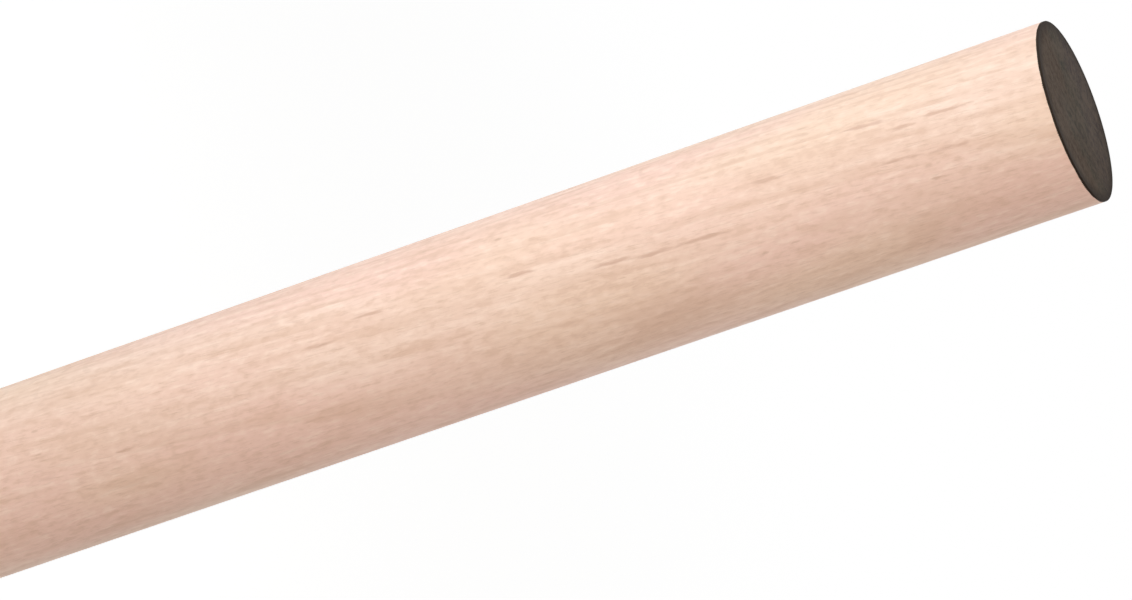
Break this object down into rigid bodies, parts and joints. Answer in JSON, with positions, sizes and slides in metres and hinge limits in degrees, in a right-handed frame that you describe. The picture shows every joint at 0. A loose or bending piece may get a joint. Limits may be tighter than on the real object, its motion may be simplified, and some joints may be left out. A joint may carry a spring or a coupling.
{
  "type": "wooden dowel rod",
  "caption": "Plain round hardwood dowel rod, sawn square at both ends, with one end painted dark; a peg, rail, roller or craft rod.",
  "frame": {"origin": "centre of the bare sawn end, which the rod stands on", "axes": "+Z along the rod's axis, up to the painted end; X and Y are any two directions across it, because it is round"},
  "size_m": [0.0254, 0.0254, 0.3049],
  "materials": {
    "bare_hardwood": "matte",
    "colour_code_paint": "matte"
  },
  "bodies": {
    "root": {"dowel_rod": "bare_hardwood", "end_paint": "colour_code_paint"}
  },
  "joints": []
}
